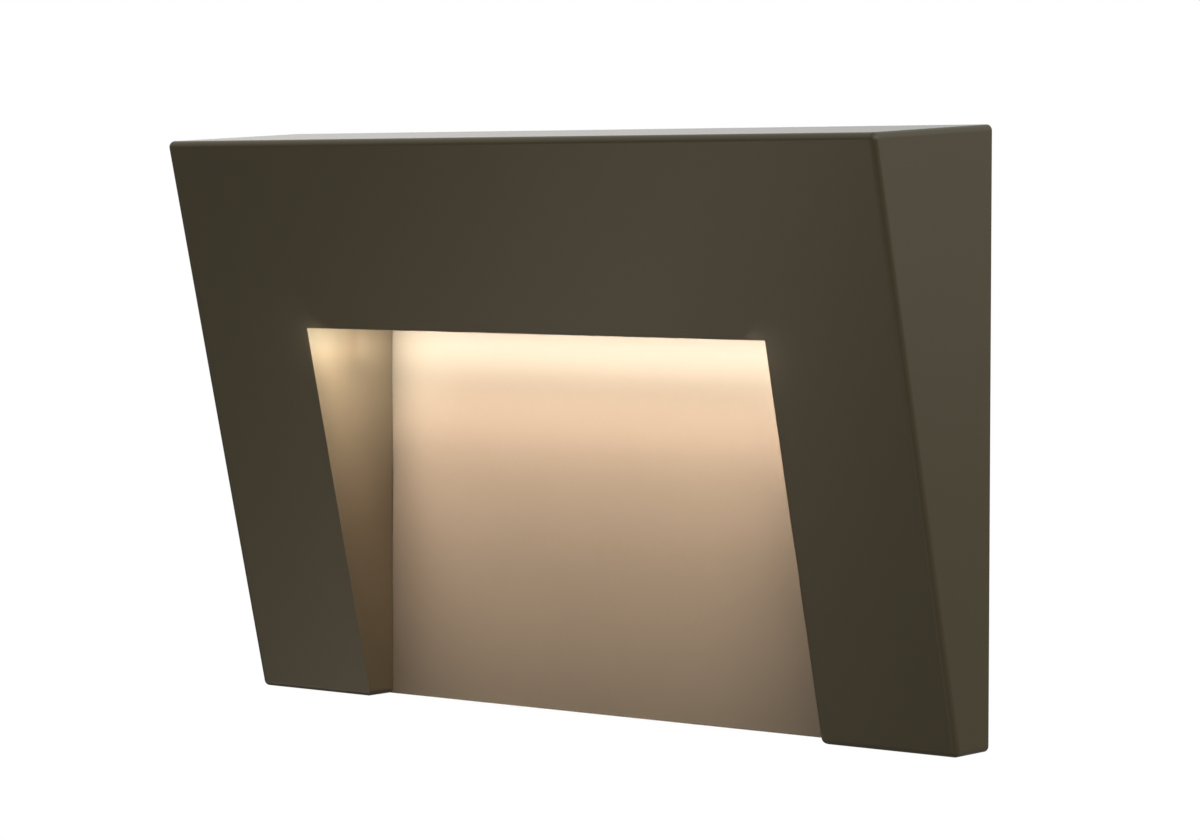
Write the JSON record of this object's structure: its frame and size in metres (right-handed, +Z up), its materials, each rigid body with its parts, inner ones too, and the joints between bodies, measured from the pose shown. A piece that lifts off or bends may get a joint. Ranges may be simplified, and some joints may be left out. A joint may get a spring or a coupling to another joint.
{
  "type": "deck light",
  "caption": "Wall-mounted LED deck light: a bronze cast wedge with two legs hangs on a bent plate and washes light down the plate between them.",
  "frame": {"origin": "on the wall plane, midway between the two wall screw slots, which is the middle of the light's width and 45 mm above the housing's bottom edge", "axes": "+X to the right when facing the light, +Y into the wall, +Z up"},
  "size_m": [0.1142, 0.025, 0.0762],
  "materials": {
    "bronze_casting": "fine-texture bronze powder coat on die-cast aluminium",
    "bronze_sheet": "fine-texture bronze powder coat on steel sheet",
    "black_foam": "closed-cell foam",
    "frosted_lens": "frosted polycarbonate",
    "silicone_rubber": "matt silicone",
    "white_reflector": "moulded white",
    "led_board_white": "white solder mask on aluminium core",
    "led_phosphor": "warm phosphor",
    "thermal_rubber": "soft matt pad",
    "bare_aluminium": "bare rolled",
    "plated_steel": "zinc plated",
    "green_circuit_board": "green solder mask",
    "brass_standoff": "turned brass",
    "capacitor_sleeve": "shrink sleeve",
    "dark_ferrite": "ferrite",
    "black_epoxy": "moulded epoxy",
    "black_rubber": "matt rubber",
    "black_steel": "black oxide"
  },
  "bodies": {
    "mount": {"mounting_plate": "bronze_sheet", "wall_gasket": "black_foam"},
    "light": {"housing": "bronze_casting", "lens": "frosted_lens", "lens_gasket": "silicone_rubber", "reflector": "white_reflector", "led_board": "led_board_white", "leds": "led_phosphor", "thermal_pad": "thermal_rubber", "heat_spreader": "bare_aluminium", "heat_spreader_screws": "plated_steel", "led_board_screws": "plated_steel", "driver_board": "green_circuit_board", "driver_standoffs": "brass_standoff", "driver_screws": "plated_steel", "smoothing_capacitor": "capacitor_sleeve", "choke": "dark_ferrite", "bridge_rectifier": "black_epoxy", "driver_chip": "black_epoxy", "link_pins": "brass_standoff", "chamber_gasket": "silicone_rubber", "chamber_cover": "bare_aluminium", "cover_screws": "plated_steel", "cable_gland": "black_rubber"},
    "left_screw": {"left_set_screw": "black_steel"},
    "right_screw": {"right_set_screw": "black_steel"}
  },
  "joints": [
    {"name": "housing_pull", "type": "slide", "parent": "mount", "child": "light", "axis": [0, -1, 0], "range_m": [0, 0.03]},
    {"name": "left_set_screw_out", "type": "slide", "parent": "light", "child": "left_screw", "axis": [0, 0, -1], "range_m": [0, 0.0045]},
    {"name": "right_set_screw_out", "type": "slide", "parent": "light", "child": "right_screw", "axis": [0, 0, -1], "range_m": [0, 0.0045]}
  ]
}
